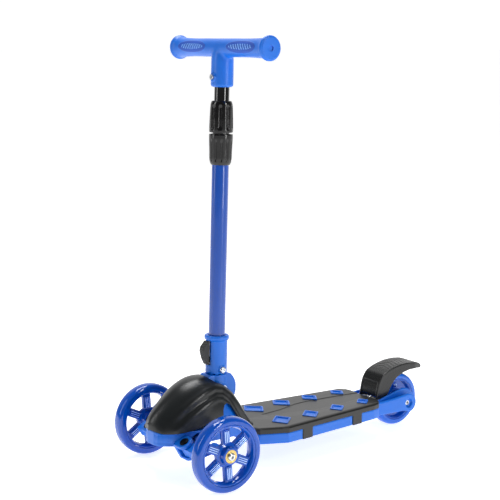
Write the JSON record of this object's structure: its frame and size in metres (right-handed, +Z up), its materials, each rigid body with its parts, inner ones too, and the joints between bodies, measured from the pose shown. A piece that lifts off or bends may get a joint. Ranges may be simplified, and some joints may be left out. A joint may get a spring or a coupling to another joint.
{
  "type": "three-wheel kick scooter",
  "caption": "Child's three-wheel kick scooter with lean steering, a folding stem, a height-adjustable handlebar, a ribbed deck with a grip pad, and a rear mudguard brake.",
  "frame": {"origin": "on the ground under the middle of the scooter's length, on its centre plane", "axes": "+X to the rider's left, +Y to the rear, +Z up; the scooter travels towards -Y"},
  "size_m": [0.2768, 0.588, 0.7224],
  "materials": {
    "handlebar_plastic": "moulded polypropylene, satin",
    "bar_end_plastic": "moulded plastic, dark blue",
    "stem_paint": "gloss royal blue powder coat on steel tube",
    "upper_tube_paint": "gloss black paint on steel tube",
    "lock_plastic": "black moulded nylon, fluted",
    "body_plastic": "moulded polypropylene, satin blue",
    "cowl_plastic": "fine-textured charcoal plastic",
    "guard_plastic": "fine-textured dark grey plastic",
    "button_plastic": "black moulded plastic",
    "deck_pad_rubber": "warm grey anti-slip rubber",
    "wheel_tyre": "cast translucent blue polyurethane",
    "wheel_core": "glossy blue moulded nylon",
    "bearing_steel": "yellow-zinc plated bearing",
    "steel": "zinc plated steel",
    "spring_steel": "drawn spring wire"
  },
  "bodies": {
    "deck": {"deck_base": "body_plastic", "deck_pad": "deck_pad_rubber", "front_base": "body_plastic", "front_cowl": "cowl_plastic", "fold_bracket": "steel", "fold_pin": "steel", "fold_pin_clip": "steel", "kingpin_left": "steel", "kingpin_right": "steel", "base_bolt_front": "steel", "base_bolt_rear": "steel", "cowl_screw_front": "steel", "cowl_screw_rear": "steel", "rear_axle_bolt": "steel", "rear_axle_nut": "steel", "brake_pin": "steel", "brake_spring": "spring_steel", "steering_spring_left": "spring_steel", "steering_spring_right": "spring_steel"},
    "stem": {"fold_knuckle": "body_plastic", "fold_socket": "body_plastic", "lower_tube": "stem_paint", "lower_collar": "lock_plastic", "lock_collet": "lock_plastic", "socket_bolt": "steel", "socket_nut": "steel"},
    "fold_button_body": {"fold_button": "button_plastic"},
    "latch": {"latch_plunger": "steel", "latch_spring": "spring_steel"},
    "lock_ring": {"lock_nut": "lock_plastic"},
    "handlebar": {"handlebar_moulding": "handlebar_plastic", "handlebar_core_tube": "steel", "bar_end_plug_left": "bar_end_plastic", "bar_end_plug_right": "bar_end_plastic", "handlebar_screw": "steel", "handlebar_insert": "lock_plastic", "upper_tube": "upper_tube_paint", "upper_tube_foot": "lock_plastic"},
    "tie_rod_body": {"tie_rod": "steel"},
    "brake": {"mudguard_brake": "guard_plastic"},
    "rear_wheel": {"rear_tyre": "wheel_tyre", "rear_core": "wheel_core", "rear_bearing_outer": "bearing_steel", "rear_bearing_inner": "bearing_steel"},
    "steering_left": {"steering_knuckle_left": "body_plastic", "front_left_axle_bolt": "steel", "front_left_axle_nut": "steel"},
    "front_wheel_left": {"front_left_tyre": "wheel_tyre", "front_left_core": "wheel_core", "front_left_bearing_outer": "bearing_steel", "front_left_bearing_inner": "bearing_steel"},
    "steering_right": {"steering_knuckle_right": "body_plastic", "front_right_axle_bolt": "steel", "front_right_axle_nut": "steel"},
    "front_wheel_right": {"front_right_tyre": "wheel_tyre", "front_right_core": "wheel_core", "front_right_bearing_outer": "bearing_steel", "front_right_bearing_inner": "bearing_steel"}
  },
  "joints": [
    {"name": "fold", "type": "hinge", "parent": "deck", "child": "stem", "pos_m": [0, -0.1608, 0.135], "axis": [-1, 0, 0], "range_deg": [0, 84]},
    {"name": "height", "type": "slide", "parent": "stem", "child": "handlebar", "axis": [0, 0.03, 0.9995], "range_m": [-0.018, 0.15]},
    {"name": "lock_twist", "type": "hinge", "parent": "stem", "child": "lock_ring", "pos_m": [0, -0.14714, 0.58979], "axis": [0, 0.03, 0.9995], "range_deg": [0, 90]},
    {"name": "button_press", "type": "slide", "parent": "stem", "child": "fold_button_body", "axis": [0, 0.9995, -0.03], "range_m": [0, 0.004], "stiffness_N_per_m": 900, "springref_m": -0.003, "deforming": ["latch_spring"]},
    {"name": "latch_lift", "type": "slide", "parent": "stem", "child": "latch", "axis": [0, 0.03, 0.9995], "range_m": [0, 0.004], "deforming": ["latch_spring"]},
    {"name": "steer_left", "type": "hinge", "parent": "deck", "child": "steering_left", "pos_m": [0.056, -0.253, 0.06], "axis": [0, -0.5, 0.866], "range_deg": [-12, 12], "stiffness_Nm_per_rad": 6, "deforming": ["steering_spring_left", "steering_spring_right"]},
    {"name": "steer_right", "type": "hinge", "parent": "deck", "child": "steering_right", "pos_m": [-0.056, -0.253, 0.06], "axis": [0, -0.5, 0.866], "range_deg": [-12, 12]},
    {"name": "tie_rod_shift", "type": "slide", "parent": "deck", "child": "tie_rod_body", "axis": [1, 0, 0], "range_m": [-0.0056, 0.0056], "deforming": ["steering_spring_left", "steering_spring_right"]},
    {"name": "spin_left", "type": "hinge", "parent": "steering_left", "child": "front_wheel_left", "pos_m": [0.1208, -0.223, 0.0625], "axis": [-1, 0, 0], "continuous": true},
    {"name": "spin_right", "type": "hinge", "parent": "steering_right", "child": "front_wheel_right", "pos_m": [-0.1208, -0.223, 0.0625], "axis": [-1, 0, 0], "continuous": true},
    {"name": "spin_rear", "type": "hinge", "parent": "deck", "child": "rear_wheel", "pos_m": [0, 0.242, 0.0495], "axis": [-1, 0, 0], "continuous": true},
    {"name": "brake_press", "type": "hinge", "parent": "deck", "child": "brake", "pos_m": [0, 0.184, 0.06], "axis": [-1, 0, 0], "range_deg": [0, 4], "stiffness_Nm_per_rad": 3, "springref_deg": -6.88, "deforming": ["brake_spring"]}
  ],
  "couplings": [
    {"joint": "latch_lift", "follows": "button_press", "ratio": 1},
    {"joint": "steer_right", "follows": "steer_left", "ratio": 1},
    {"joint": "tie_rod_shift", "follows": "steer_left", "m_per_rad": -0.026}
  ]
}
